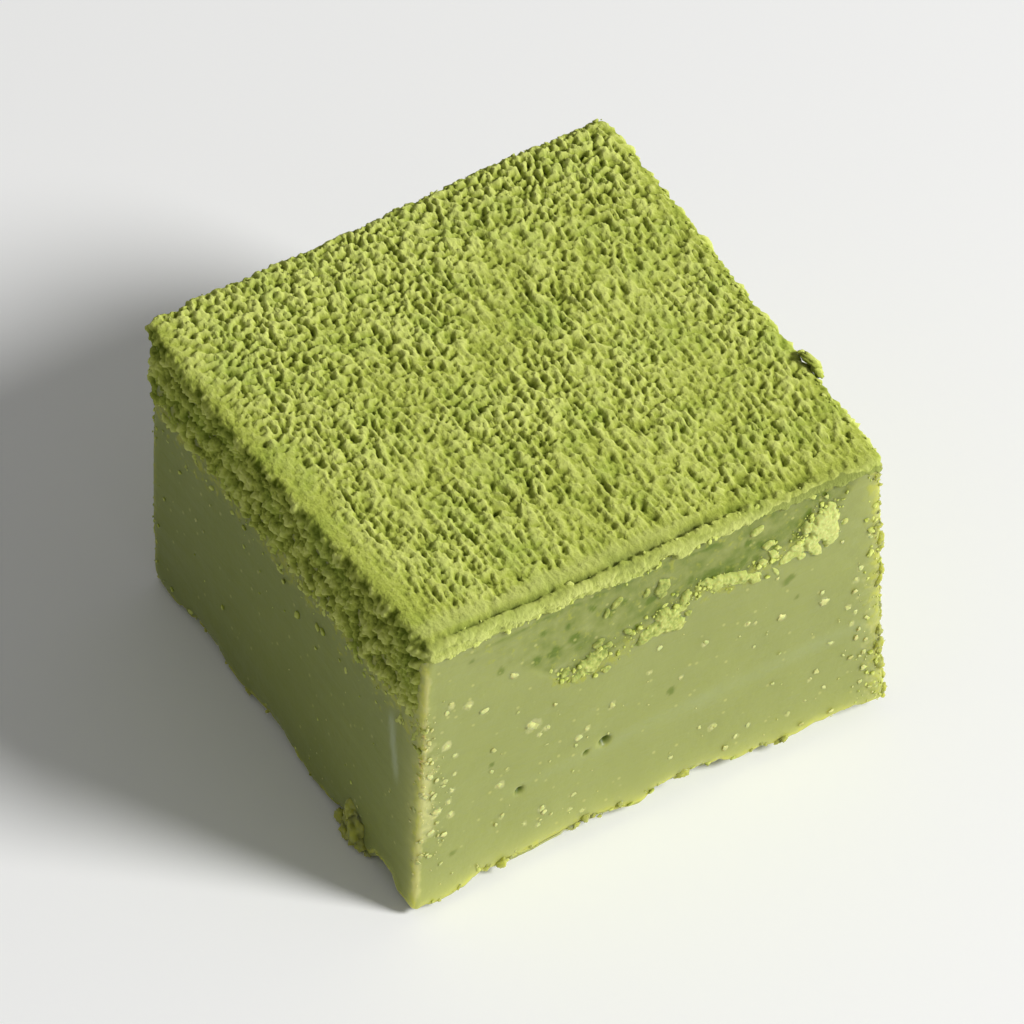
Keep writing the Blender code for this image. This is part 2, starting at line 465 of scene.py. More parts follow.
front = {
    # the front cut: x and z in mm from the block's middle and the table
    "ledge": ((-9.6, 14.1), (-6.7, 12.3), (-4.3, 10.5), (-2.8, 10.4), (-0.6, 11.2), (0.4, 11.6),
              (2.2, 12.2), (4.9, 12.0), (6.2, 12.4), (7.6, 12.7), (8.4, 13.8), (9.4, 13.7), (10.3, 14.6)),
    "recess": 0.12,            # the blade tore a shallow step along that line
    "holes": ((-6.5, 4.6, 0.17), (-2.2, 5.35, 0.24), (-3.15, 5.15, 0.12)),    # x, z and radius
    # spots of thicker film: x, z and radius
    "dark": ((-3.75, 12.5, 0.25), (-4.6, 12.2, 0.3), (-5.7, 12.2, 0.2), (-4.0, 13.4, 0.2),
             (-5.2, 13.7, 0.17), (-2.8, 13.8, 0.2), (-7.5, 12.5, 0.22), (-8.9, 13.9, 0.2),
             (-1.8, 13.05, 0.18), (-1.2, 13.4, 0.16), (-0.6, 11.4, 0.2), (-4.4, 10.6, 0.15),
             (-2.5, 9.95, 0.2), (2.1, 13.0, 0.2), (3.1, 12.8, 0.35), (4.1, 12.6, 0.22), (4.7, 12.6, 0.2),
             (5.4, 12.6, 0.17), (5.6, 13.4, 0.15), (6.3, 12.8, 0.16), (5.0, 13.7, 0.15), (6.2, 12.0, 0.2),
             (1.4, 12.5, 0.2), (0.2, 12.8, 0.25), (7.45, 12.8, 0.25), (7.6, 13.4, 0.22),
             (8.1, 13.85, 0.2), (8.7, 13.9, 0.18), (9.2, 13.8, 0.2), (7.0, 10.6, 0.3), (7.4, 9.3, 0.15),
             (1.1, 6.7, 0.17), (-7.9, 7.0, 0.14), (-10.0, 2.8, 0.2)),
    "streak": (5.2, 0.06, 0.5),     # height, slope and half width of the band that the blade polished, drawn paler as a painted sheen
    # the larger flakes of fat: x, z and width
    "flecks": ((-5.75, 8.35, 0.8), (-6.0, 8.15, 0.5), (-5.1, 7.75, 0.45), (-5.5, 7.55, 0.3),
               (-3.5, 6.3, 0.5), (-3.1, 6.7, 0.35), (-1.9, 7.4, 0.5), (0.0, 8.4, 0.3), (6.6, 8.45, 0.5),
               (8.8, 8.2, 0.6), (9.2, 5.4, 0.4), (10.4, 8.7, 0.4), (10.6, 9.3, 0.36), (10.0, 7.2, 0.4),
               (10.4, 6.7, 0.36), (10.2, 6.1, 0.36), (1.6, 7.2, 0.35), (2.8, 8.8, 0.36), (4.9, 8.9, 0.36),
               (5.3, 8.75, 0.3), (3.2, 3.3, 0.5), (4.4, 2.2, 0.36), (5.0, 2.55, 0.36), (7.0, 2.2, 0.3),
               (8.1, 3.7, 0.3), (-10.8, 5.7, 0.6), (-10.15, 6.0, 0.45), (-9.95, 6.6, 0.34),
               (-10.05, 5.2, 0.56), (-11.1, 4.6, 0.5), (-10.3, 7.3, 0.34), (-10.15, 9.4, 0.55),
               (-9.7, 8.6, 0.4), (-9.95, 11.8, 0.5), (-9.1, 11.35, 0.55), (-10.2, 11.5, 0.35),
               (-6.7, 11.85, 0.5), (-8.35, 10.5, 0.5), (-7.1, 6.3, 0.3), (-7.5, 5.5, 0.5),
               (-7.4, 3.5, 0.36), (-6.3, 2.45, 0.4), (-5.4, 2.9, 0.5), (-5.6, 2.0, 0.35),
               (-3.85, 2.85, 0.4), (-4.0, 2.0, 0.34), (-3.35, 1.6, 0.34), (9.7, 12.6, 0.3),
               (11.1, 11.0, 0.4), (-9.8, 7.5, 0.3)),
}


def ledgeHeight(place):
    ragged = 0.16 * softNoise(place, 0.8, 34) + 0.08 * softNoise(place, 0.3, 35)
    return readAt(front["ledge"], place[:, 0])[0] + ragged


def heightOverRim(points, place):
    # how far each point of a lattice stands above the foot's rim straight under it
    column = np.unique(points[:, :2], axis=0, return_inverse=True)[1].ravel()
    rim = np.zeros(column.max() + 1)
    atFoot = points[:, 2] == 0
    rim[column[atFoot]] = place[atFoot, 2]
    return place[:, 2] - rim[column]


def makeGanache():
    body = {
        "cell": 0.128, "deepCell": 0.22,       # mm between mesh points, and front to back
        "edgeRound": 0.4,        # worn cut edges
        # how far its own top lies under the powder's, and at the front's left and right
        "underCoat": 0.8, "underLip": 0.45, "underBare": 0.2,
        "wave": 0.03, "drag": 0.012, "ripple": 0.012,      # how far the cut faces stray, and
        "tear": 0.4,                                       # how far up the foot is torn elsewhere
        # the torn foot of the front: x, and the height of its rim
        "foot": ((-11.6, 0.4), (-10.4, 0.42), (-9.4, 0.5), (-8.4, 0.9), (-7.4, 0.5), (-6.8, 0.3),
                 (-4.8, 0.3), (-4.4, 0.78), (-3.2, 1.1), (-2.0, 0.98), (-0.5, 0.6), (-0.1, 1.0),
                 (0.4, 1.3), (2.8, 1.34), (3.6, 1.14), (4.6, 0.7), (5.6, 0.94), (6.4, 0.74), (7.6, 0.9),
                 (8.4, 1.1), (10.4, 1.06), (11.2, 0.86)),
        "leftBite": (-9.3, 1.3, 0.75),         # on the left face: y, half width, height
        "rubLeft": 2.2, "rubRight": 1.7, "rubFoot": 0.5,    # how wide the tea is rubbed in at the edges
        "thinEdge": 0.45,                      # and how far the painted glow of light through them reaches
        # a painted highlight, a reflection on the left face: y and z of its ends, and half width
        "paintedHighlight": ((-8.75, 9.5), (-9.6, 6.5), 0.32),
    }
    wide, deep, high = blockSize
    marks = [steps(wide, body["cell"]), steps(deep, body["deepCell"], (0.8, 0), body["cell"]),
             steps(high, body["cell"])]
    points, squares = boxLattice(*marks, openTop=True)
    place, out = fitToBlock(points, squares, blockLow[2], blockHigh[2], body["edgeRound"], 25)
    facing, leftward = shareOf(-out[:, 1]), shareOf(-out[:, 0])
    fromEnds = np.minimum(points[:, :2], 1 - points[:, :2]) * [wide, deep]
    fromEdge = fromEnds.max(1)
    onFoot = points[:, 2] == 0
    upright = ~onFoot
    x, y, z = place.T
    overRim = heightOverRim(points, place)

    # the front's torn step, polished streak, film and holes
    line = ledgeHeight(place)
    torn = smoothStep(line - 0.1, line + 0.22, z) * smoothStep(-7.0, -4.2, x) * smoothStep(10.6, 9.8, x)
    height = -front["recess"] * torn * facing
    height += body["wave"] * softNoise(place, (4, 4, 2.5), 38) + body["ripple"] * softNoise(place, 0.7, 39)
    height += body["drag"] * softNoise(place, (6, 6, 0.55), 40)
    cloud = softNoise(place, (1.6, 1.6, 0.9), 36)
    blotch = softNoise(place, 0.4, 37)
    above = smoothStep(line - 0.3, line + 0.4, z) * smoothStep(-10, -5, x)
    above *= smoothStep(10.8, 9.8, x) * facing
    filmed = np.maximum(above, 0.55 * smoothStep(2.5, 0.5, 11.4 - x) * facing)
    # 0.24 for the left face is painted shade: the left face is drawn darker and greener, with more film,
    #                                          than the front
    shade = 0.22 + above * (0.22 + 0.14 * cloud) + 0.24 * leftward
    # painted shadow of the lip: a darker band on the face just under it
    underLip = nearTo(z, 14.6, 0.17) * smoothStep(-9.8, -8, x) * smoothStep(4.5, 3, x)
    shade += 0.2 * underLip * (0.7 + 0.6 * blotch) * facing
    aboveLine = smoothStep(line - 1.0, line + 0.5, z) * facing
    shade += 0.12 * aboveLine * np.maximum(blotch, 0)
    # painted shade on the face just above the smear, where the smear stands out from the cut
    shadeBehindSmear = nearTo(z - line, 0.9, 0.55) * smoothStep(1.5, 2.5, x) * smoothStep(8.6, 7.8, x)
    shade += 0.14 * shadeBehindSmear * facing
    # the polished band is drawn paler: a painted sheen
    streakHeight, slope, half = front["streak"]
    streak = nearTo(z, streakHeight + slope * x, half) * smoothStep(-11, 0, x)
    shade -= 0.13 * facing * streak * (0.8 + 0.4 * cloud)
    for spotX, spotZ, radius in front["dark"]:
        away = np.hypot(x - spotX, z - spotZ) / radius + 0.9 * blotch
        shade += 0.42 * smoothStep(1.3, 0.5, away) * (facing > 0.8)
    shade = np.minimum(shade, 0.75)
    for holeX, holeZ, radius in front["holes"]:
        inside = smoothStep(1.5, 0.5, np.hypot(x - holeX, z - holeZ) / radius) * (facing > 0.9)
        height -= 1.6 * radius * inside
        # painted shade down inside each pinhole
        shade += 0.9 * inside

    # fat that shows along the left upright edge, and round the flakes
    wander = 0.09 * softNoise(place, 1.1, 43) + 0.08 * softNoise(place, 0.35, 44)
    pastEdge = points[:, 0] * wide - points[:, 1] * deep + wander       # above 0 on the front
    reach = np.where(pastEdge > 0, 0.35 + 0.6 * smoothStep(2.5, 5, z) * smoothStep(12, 8.5, z), 0.35)
    pale = 0.85 * nearTo(pastEdge, 0, reach) * smoothStep(15, 13.5, z) * smoothStep(0.3, 1.5, z) * upright
    for fleckX, fleckZ, width in front["flecks"]:
        away = np.hypot(x - fleckX, z - fleckZ) / (0.5 * width) + 0.5 * blotch
        pale = np.maximum(pale, 0.65 * smoothStep(1.4, 0.5, away) * (facing > 0.5))
    pale = np.maximum(pale, 0.3 * smoothStep(1.6, 0.3, 11.5 - x) * smoothStep(13, 10, z) * facing)

    # tea rubbed in at the upright edges and the foot, under the fallen powder and along the torn line
    grit = 0.6 * softNoise(place, 0.9, 31) + 0.5 * softNoise(place, 0.35, 32)
    reach = np.where(facing > 0.5, np.where(x < 0, 0.25, body["rubRight"]), 0.8)
    nearFront = (out[:, 0] < -0.6) * (y < 0)
    reach = np.where(nearFront, body["rubLeft"] * (0.4 + 0.3 * smoothStep(3, 8.5, z)), reach)
    rubbed = smoothStep(reach, 0.1 * reach, fromEdge + 0.35 * reach * grit)
    rubbed *= np.where(facing > 0.5, 0.5, 0.45)
    rubbed = np.maximum(rubbed, 0.6 * smoothStep(body["rubFoot"], 0.1, overRim + 0.3 * grit))
    rubbed = np.maximum(rubbed, 0.5 * smoothStep(8.8, 11.2, z + 1.4 * grit) * (1 - facing))
    nearLine = nearTo(z - line, -0.3, 0.75) * smoothStep(-6, -4, x) * smoothStep(10.5, 9, x)
    rubbed = np.maximum(rubbed, 0.45 * nearLine * facing)
    rubbed = np.maximum(rubbed, 0.22 * aboveLine * smoothStep(-10.5, -8, x))
    rubbed *= upright

    # painted glow: light that comes through the sharp edges, and along the foot
    behind = np.where(pastEdge < 0, -pastEdge / (0.3 + 0.4 * smoothStep(2, 5, z)), 5 * pastEdge)
    paintedEdgeGlow = 0.75 * np.exp(-behind) * (0.8 + 0.4 * blotch)
    paintedEdgeGlow += np.where(pastEdge < 0, 0.22 * np.exp(pastEdge / 1.2), 0) * smoothStep(14, 12, z)
    paintedEdgeGlow = np.maximum(paintedEdgeGlow, 0.55 * np.exp(-fromEdge / body["thinEdge"]) * facing * (x > 0))
    paintedEdgeGlow = np.maximum(paintedEdgeGlow, 0.4 * np.exp(-overRim / body["thinEdge"]) * facing)
    paintedEdgeGlow = np.clip(paintedEdgeGlow + 0.16 * np.exp(-overRim / 1.4) * facing, 0, 1) * upright

    # painted highlight: a long bright reflection on the left face
    (startY, startZ), (endY, endZ), half = body["paintedHighlight"]
    along = np.clip((startZ - z) / (startZ - endZ), 0, 1)
    away = np.abs(y - startY - along * (endY - startY) + 0.12 * cloud) / half
    ends = smoothStep(startZ + 0.6, startZ - 0.6, z) * smoothStep(endZ - 0.6, endZ + 0.6, z)
    paintedHighlight = 0.75 * smoothStep(1.2, 0.2, away) * ends * (leftward > 0.6)

    # the torn rim of the foot
    level = place * [1, 1, 0]
    rip = np.maximum(softNoise(level, 0.55, 41) + 0.6 * softNoise(level, 0.24, 42), 0)
    lift = body["tear"] * rip
    torn = readAt(body["foot"], x)[0] - 0.12 + 0.1 * softNoise(place * [1, 0, 0], 0.5, 49) - (z - overRim)
    lift = np.where(y < -10.9, np.maximum(torn, 0) + 0.3 * lift, lift)
    biteY, half, bite = body["leftBite"]
    lift += bite * smoothStep(half, half * 0.5, np.abs(y - biteY)) * smoothStep(-10.6, -11.2, x)
    fromRim = np.where(onFoot, fromEnds.min(1), 0)
    lift *= smoothStep(np.where(y < -8, 2.4, 0.6), 0.0, fromRim) * smoothStep(2.0, 0.3, z)

    place = place + out * height[:, None]
    place[:, 2] = np.maximum(place[:, 2] + lift, blockLow[2])
    skin = place.copy()
    atFront = body["underLip"] + (body["underBare"] - body["underLip"]) * smoothStep(4.5, 6.5, x)
    under = body["underCoat"] + (atFront - body["underCoat"]) * facing
    place[:, 2] -= under * smoothStep(blockHigh[2] - 2.2, blockHigh[2] - 0.5, place[:, 2])
    faces = squares.tolist()
    faces.append(closingFace(points, 1, up=True))
    fields = {"shade": np.clip(shade, 0, 1), "rubbed": rubbed, "filmed": filmed, "pale": pale,
              "paintedHighlight": paintedHighlight, "paintedEdgeGlow": paintedEdgeGlow}
    piece = makePiece("ganache_body", place, faces, fields, teaGanache)
    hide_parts(blockNode)
    return {"skin": skin, "out": out, "fromEdge": fromEdge, "facing": facing, "upright": upright,
            "overRim": np.maximum(overRim, 0)}


# the powder over the top and down the sides

coat = {
    "cell": 0.088, "frontCell": 0.06,      # mm between mesh points on the top, and by the crack
    "sideCell": 0.13, "topDeep": 1.45, "deep": 7.0,     # mm that the two meshes reach down
    "relief": 0.105,         # how high the brushed clumps stand
    # the powder leans out over the left edge: y, and how far
    "overhang": ((-11.3, 0.05), (-8.0, 0.15), (-2.0, 0.38), (4.0, 0.56), (9.5, 0.5), (11.2, 0.2)),
    "thick": 0.13, "sideRelief": 0.13,
    "hang": 5.6, "hangRagged": 0.9, "fade": 1.5,    # how far down the powder hangs, and how it ends
    # the lip along the front: x, the height of its lower edge, and how far it stands out
    "lip": ((-10.5, 14.95, 0.12), (-1.0, 14.88, 0.12), (3.0, 15.05, 0.08), (6.2, 15.0, 0.02),
            (11.5, 14.8, 0.015)),
    # the powder stops short of the edge at the right: x, and how far in
    "bare": ((3.5, -1.6), (5.0, -0.8), (6.5, -0.3), (8.5, 0.1), (10.0, 0.1), (11.0, -0.4)),
    # the crack behind the lip: x, mm in from the edge, and depth
    "crack": ((-11.1, 0.15, 0.0), (-10.2, 0.2, 0.3), (-8.0, 0.36, 0.46), (-2.0, 0.46, 0.46),
              (1.0, 0.6, 0.4), (4.0, 0.72, 0.36), (6.0, 0.75, 0.25), (9.0, 0.7, 0.18), (10.5, 0.6, 0.0)),
    "crackWide": 0.22,
}


def coatRelief(points, place, out, deep):
    # how far the powder stands out at each point of a lattice, and the fields that colour it
    x, y, z = place.T
    facing, upward = shareOf(-out[:, 1]), shareOf(out[:, 2])
    sideways = 1 - facing - upward
    brushed, fallen = brushedRelief(place), fallenRelief(place)
    down = (1 - points[:, 2]) * deep
    fromLeft, fromFront = (points * blockSize)[:, :2].T
    fromRight, fromBack = ((1 - points) * blockSize)[:, :2].T
    grains = 0.45 - grainNoise(place, 0.24, 58) ** 2 + 0.5 * softNoise(place, 0.18, 59)

    # the top: rougher at the back, plainer along the front and left where the brush pressed harder
    pressed = smoothStep(-0.6, 0.5, softNoise(place, (3.0, 4.0, 4), 51))
    wander = 0.5 * softNoise(place, 1.3, 50)
    packed = 0.45 * smoothStep(2.2, 0.8, fromFront + wander)
    packed = np.maximum(packed, 0.5 * smoothStep(1.6, 0.5, fromLeft + wander) * smoothStep(9, -4, y))
    region = 1 + 0.25 * smoothStep(5, 10, y) - 0.15 * smoothStep(-5, -10, y)
    rim = 0.35 + 0.65 * smoothStep(0.1, 0.9, np.minimum(fromLeft, fromRight) + 0.4 * wander)
    rim *= 0.75 + 0.25 * smoothStep(0.1, 0.6, fromBack)
    # a strip behind the crack that the blade pressed smooth
    strip = smoothStep(0.4, 0.7, fromFront) * smoothStep(1.6, 1.1, fromFront + 0.6 * wander)
    strip *= smoothStep(4.5, 1, x)
    strength = (0.75 + 0.4 * pressed) * region * rim * (1 - packed) * (1 - 0.5 * strip)
    rise = coat["relief"] * brushed * strength + 0.05 * grains * (1 - strength)
    # painted shade: the powder is drawn darker where the brushed relief is low and paler where it stands up
    shade = 0.5 + 0.22 * brushed * strength - 0.04 * packed + 0.16 * strip + 0.03 * smoothStep(6, 10, y)

    # the front: a packed, grainy lip along the edge, with ganache below it
    lipHeight, lipOut = readAt(coat["lip"], x)
    ragged = 0.16 * softNoise(place, 1.1, 52) + 0.18 * softNoise(place, 0.36, 53)
    edge = lipHeight + ragged
    lip = smoothStep(edge - 0.07, edge + 0.07, z)
    layers = softNoise(place, (1.6, 1.0, 0.2), 61)
    uneven = softNoise(place, (0.9, 0.9, 0.5), 62)
    lipRise = lipOut + 0.12 * grains + 0.07 * layers + 0.1 * uneven
    lipRise = lip * lipRise - 0.25 * (1 - lip)
    # paler on the grains and darker between them, partly painted shade; darker towards the lip's top
    lipShade = 0.58 + 0.6 * grains + 0.2 * layers + 0.4 * uneven - 0.2 * smoothStep(15.3, 15.9, z)

    # the sides: crumbs that thin out downwards, few of them at the front's left upright edge
    pastEnd = down - coat["hang"] + coat["hangRagged"] * softNoise(place, 1.5, 54)
    thin = smoothStep(-coat["fade"], coat["fade"], pastEnd)
    thin = np.maximum(thin, smoothStep(0.9, 0.3, fromFront + wander) * smoothStep(1.1, 1.9, down))
    sideRise = coat["thick"] + coat["sideRelief"] * fallen * (0.4 + 0.6 * smoothStep(0.1, 0.7, down))
    sideRise = sideRise * smoothStep(-0.3, 1.0, fromFront) - 0.45 * thin
    # painted shade: the powder on the sides is drawn darker than on the top, paler on its crumbs than in
    # their gaps and towards the front, with a painted shadow just under the rim that hangs over
    sideShade = 0.3 + 0.32 * fallen + 0.12 * smoothStep(-7, -10.5, y)
    sideShade -= 0.15 * smoothStep(0.4, 1.0, down) * smoothStep(2.6, 1.2, down)

    rise = upward * rise + facing * lipRise + sideways * sideRise
    shade = upward * shade + facing * lipShade + sideways * sideShade

    # a film of tea over bare ganache, where the powder stops short of the edge
    bareEdge = readAt(coat["bare"], x)[0]
    bareEdge += 0.25 * softNoise(place, 0.9, 46) + 0.2 * softNoise(place, 0.35, 47)
    stained = smoothStep(0.12, -0.12, fromFront - down - bareEdge) * (x > 3) * (fromFront < 2)
    rise = np.where(stained > 0, rise + stained * (0.02 - 0.8 * rise - 0.06 * upward) * lip, rise)

    # the crack that the blade opened behind the lip, broken into pits
    alongX = place * [1, 0, 0]
    crackIn, crackDeep = readAt(coat["crack"], x)
    crackIn += 0.16 * softNoise(alongX, 2.1, 55) + 0.09 * softNoise(alongX, 0.6, 56)
    broken = 0.55 + 0.7 * softNoise(alongX, 1.7, 57) + 0.5 * softNoise(alongX, 0.7, 45)
    opened = crackDeep * np.clip(broken, 0, 1)
    wide = coat["crackWide"] * (1 + 0.8 * softNoise(alongX, 0.5, 48))
    crack = nearTo(fromFront, crackIn, wide) * (points[:, 2] == 1) * opened
    onLip = (facing > 0.8) * (np.abs(z - edge) < 0.12) * (x < 6)
    soaked = 0.5 * facing * (1 - stained) + upward * (0.15 * smoothStep(0.9, 0.3, fromFront) + 0.3 * strip)
    # the crack's floor is painted dark: painted shade down in the crack
    fields = {"height": np.clip(shade - 1.6 * crack, 0, 1), "stained": stained, "packed": soaked}
    return np.maximum(rise - crack, -0.4), fields, onLip


def overhung(points, place, deep):
    # the top's left rim moved outwards, so that it throws a shadow on the side
    fromLeft, down = points[:, 0] * blockSize[0], (1 - points[:, 2]) * deep
    amount = readAt(coat["overhang"], place[:, 1])[0] * (1 + 0.3 * softNoise(place * [0, 1, 0], 1.4, 60))
    place[:, 0] -= amount * smoothStep(1.3, 0.1, fromLeft) * smoothStep(1.7, 0.4, down)
    return place


def makeTopCoat():
    marks = [steps(blockSize[0], coat["cell"]),
             steps(blockSize[1], coat["cell"], (0.9, 0), coat["frontCell"]),
             steps(coat["topDeep"], coat["cell"])]
    points, squares = boxLattice(*marks, openFoot=True)
    place, out = fitToBlock(points, squares, blockHigh[2] - coat["topDeep"], blockHigh[2], 0.4, 40)
    place = overhung(points, place, coat["topDeep"])
    rise, fields, onLip = coatRelief(points, place, out, coat["topDeep"])
    down = (1 - points[:, 2]) * coat["topDeep"]
    rise -= 0.4 * smoothStep(1.0, 1.3, down)
    skin = place + out * rise[:, None]
    faces = squares.tolist()
    faces.append(closingFace(points, 0, up=False))
    makePiece("powder_top", skin, faces, fields, groundTea)
    return {"skin": skin, "out": out, "upward": shareOf(out[:, 2]), "onLip": onLip}


def makeSideCoat():
    # the same powder further down, in a mesh of its own that starts under the top's rim
    marks = [steps(length, coat["sideCell"]) for length in (*blockSize[:2], coat["deep"])]
    points, squares = boxLattice(*marks, openTop=True, openFoot=True)
    place, out = fitToBlock(points, squares, blockHigh[2] - coat["deep"], blockHigh[2], 0.4, 30)
    place = overhung(points, place, coat["deep"])
    rise, fields = coatRelief(points, place, out, coat["deep"])[:2]
    down = (1 - points[:, 2]) * coat["deep"]
    rise -= 0.45 * smoothStep(0.8, 0.5, down) + 0.3 * shareOf(-out[:, 1])
    skin = place + out * np.maximum(rise, -0.5)[:, None]
    skin[:, 2] -= 0.3 * smoothStep(0.5, 0.0, down)
    faces = squares.tolist()
    faces += [closingFace(points, 0, up=False), closingFace(points, 1, up=True)]
    makePiece("powder_sides", skin, faces, {"height": fields["height"]}, groundTea)


# loose bits

def scatter(skin, out, count, weight, seed):
    # that many spots on a skin, chosen by weight, with the way out at each
    random = np.random.default_rng(seed)
    picked = random.choice(len(skin), count, p=weight / weight.sum())
    return skin[picked] + random.uniform(-0.07, 0.07, (count, 3)), out[picked]


def turned(count, random):
    # a random set of three axes for each lump
    first = random.normal(size=(count, 3))
    first /= np.linalg.norm(first, axis=1, keepdims=True)
    second = np.cross(first, random.normal(size=(count, 3)))
    second /= np.linalg.norm(second, axis=1, keepdims=True)
    return np.stack([first, second, np.cross(first, second)], 1)


def lumps(centres, outs, widths, flat, rough, seed):
    # one rough crumb round each centre: a ball worn down on several sides, flattened against the
    # skin it lies on and kept above the table; wider ones have more facets
    random = np.random.default_rng(seed)
    centres, outs, widths = np.asarray(centres), np.asarray(outs), np.asarray(widths)
    places, faces, shades, first = [], [], [], 0
    for level, (least, most) in enumerate(((0, 0.14), (0.14, 0.36), (0.36, 9)), 1):
        chosen = (widths >= least) & (widths < most)
        count = int(chosen.sum())
        if not count:
            continue
        ball = bmesh.new()
        bmesh.ops.create_icosphere(ball, subdivisions=level, radius=1.0)
        base = np.array([v.co for v in ball.verts])
        corners = np.array([[v.index for v in f.verts] for f in ball.faces])
        ball.free()
        sides = random.normal(size=(count, 7, 3))
        sides /= np.linalg.norm(sides, axis=2, keepdims=True)
        depth = random.uniform(0.3, 0.55, (count, 1, 7))
        reached = np.maximum(np.einsum("vk,nsk->nvs", base, sides), 0) / depth
        radius = ((reached ** 7).sum(2) + 1.6 ** 7) ** (-1 / 7)
        shape = base[None] * radius[:, :, None]
        uneven = softNoise((shape * 5 + centres[chosen][:, None] * 37).reshape(-1, 3), 1.0, seed + 5)
        shape = shape * (1 + rough * uneven.clip(-1, 0.8).reshape(count, -1, 1))
        stretch = random.uniform(0.75, 1.3, (count, 1, 3))
        shape = np.einsum("nvk,nkj->nvj", shape * stretch, turned(count, random))
        way = outs[chosen][:, None]
        along = (shape * way).sum(2, keepdims=True)
        shape = shape - way * along * (1 - flat)
        place = centres[chosen][:, None] + shape * widths[chosen][:, None, None]
        places.append(place.reshape(-1, 3))
        starts = first + len(base) * np.arange(count)
        faces += (corners[None] + starts[:, None, None]).reshape(-1, 3).tolist()
        first += count * len(base)
        # painted shade: darker on the side that faces the skin it lies on; each one's tone a little
        # different
        shade = 0.55 + 0.7 * along[:, :, 0] + random.uniform(-0.2, 0.15, (count, 1))
        shades.append(np.clip(shade, 0, 1).ravel())
    places = np.concatenate(places)
    places[:, 2] = np.maximum(places[:, 2], blockLow[2])
    return places, faces, np.concatenate(shades)


def randomWidths(count, small, large, seed):
    # mostly small ones
    return small + (large - small) * np.random.default_rng(seed).random(count) ** 2.5


def looseBits(bits, where, named, namedOut, seeds):
    # lumps scattered over skins, where each row gives a skin, the ways out, the name of its count,
    # a weight and a seed, and lumps at named spots, which are rows of x, y, z and width
    spots = [scatter(skin, out, bits[name], weight, seed) for skin, out, name, weight, seed in where]
    centres = np.concatenate([s[0] for s in spots] + [named[:, :3]])
    outs = np.concatenate([s[1] for s in spots] + [np.tile(namedOut, (len(named), 1))])
    widths = randomWidths(len(centres) - len(named), bits["small"], bits["large"], seeds[0])
    widths = np.concatenate([widths, named[:, 3]])
    centres = centres - outs * widths[:, None] * bits["sunk"]
    return lumps(centres, outs, widths, bits["flat"], bits["rough"], seeds[1])


def makeClumps(ganacheSkin, coatSkin):
    clumps = {
        # how many fell down the sides, stuck at the edges and the foot, or lie at the top's rim,
        # under its lip and on the torn line
        "fallen": 900, "edge": 200, "rightEdge": 150, "foot": 110, "rim": 200, "lip": 170, "line": 320,
        "small": 0.08, "large": 0.34,      # mm across
        "fringe": 10.4,                    # height where the hanging powder ends
        "flat": 0.5, "rough": 0.45, "sunk": 0.12,
        # clumps by name, at the right edge of the top: x, y, z, width
        "named": ((12.1, -4.85, 15.65, 0.85), (12.1, -5.45, 15.5, 0.6), (12.0, -4.3, 15.6, 0.55),
                  (12.15, -4.95, 15.3, 0.5)),
    }
    skin, out, facing = ganacheSkin["skin"], ganacheSkin["out"], ganacheSkin["facing"]
    x, y, z = skin.T
    upright = ganacheSkin["upright"]
    below = np.clip(clumps["fringe"] + 1.0 - z, 0, None)
    fallen = (np.exp(-below / 1.1) + 0.02) * (z < clumps["fringe"] + 1.0) * (1 - facing) * upright
    nearEdge = np.exp(-ganacheSkin["fromEdge"] / 0.35) * upright * (z < 14) * ~((x < 0) & (y < 0))
    rightEdge = nearTo(x, 11.5, 0.6) * (y < -10.8) * upright * (z < 15)
    nearFoot = np.exp(-ganacheSkin["overRim"] / 0.2) * upright
    nearLine = nearTo(z, ledgeHeight(skin), 0.5) * (facing > 0.9) * smoothStep(-6, -3, x) * (x < 10)
    coat, coatOut, upward = coatSkin["skin"], coatSkin["out"], coatSkin["upward"]
    rim = (upward > 0.3) * (upward < 0.95) * (coatOut[:, 1] > -0.3) * (coatOut[:, 0] > -0.3)
    where = [(skin, out, "fallen", fallen, 62), (skin, out, "edge", nearEdge, 63),
             (skin, out, "rightEdge", rightEdge, 67), (skin, out, "foot", nearFoot, 64),
             (skin, out, "line", nearLine, 69), (coat, coatOut, "rim", rim * 1.0, 65),
             (coat, coatOut, "lip", coatSkin["onLip"] * 1.0, 68)]
    places, faces, shade = looseBits(clumps, where, np.array(clumps["named"]), (0.8, 0.0, 0.6), (61, 66))
    makePiece("powder_clumps", places, faces, {"height": shade}, groundTea)


def onFront(ganacheSkin, spots):
    # the nearest points of the front face to (x, z) spots
    skin, facing = ganacheSkin["skin"], ganacheSkin["facing"]
    face = skin[facing > 0.6]
    return np.array([face[np.argmin((face[:, 0] - x) ** 2 + (face[:, 2] - z) ** 2)] for x, z in spots])


